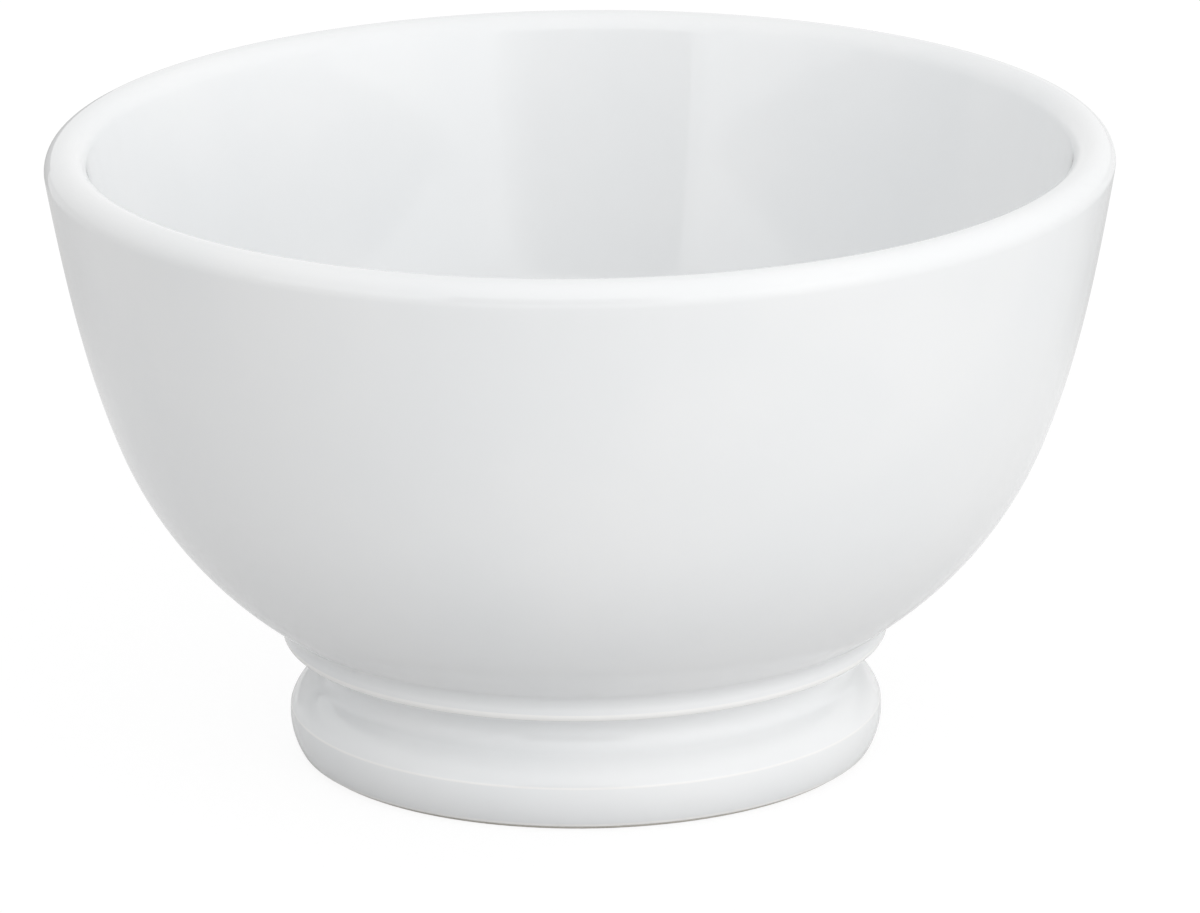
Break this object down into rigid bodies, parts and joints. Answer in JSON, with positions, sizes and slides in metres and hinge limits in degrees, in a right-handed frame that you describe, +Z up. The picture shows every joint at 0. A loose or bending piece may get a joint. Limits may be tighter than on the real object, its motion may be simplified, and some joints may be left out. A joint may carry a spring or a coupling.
{
  "type": "latte bowl",
  "caption": "Footed latte bowl in white glazed porcelain, with a thick round lip, a deep rounded belly and a turned foot with a collar, a hollow neck and a ridge, for hot milky drinks.",
  "frame": {"origin": "centre of the standing ring, on the surface that the bowl stands on", "axes": "+Z up along the axis that the bowl is turned about"},
  "size_m": [0.14, 0.14, 0.0826],
  "materials": {
    "porcelain": "fired clay under the glaze",
    "bare_porcelain": "matt bare fired clay on the standing ring",
    "slip": "fired slip, hidden",
    "glaze": "glossy white glaze"
  },
  "bodies": {
    "root": {"bowl_body": "porcelain", "foot_ring": "bare_porcelain", "slip_joint": "slip", "glaze_coat": "glaze", "base_glaze": "glaze"}
  },
  "joints": []
}
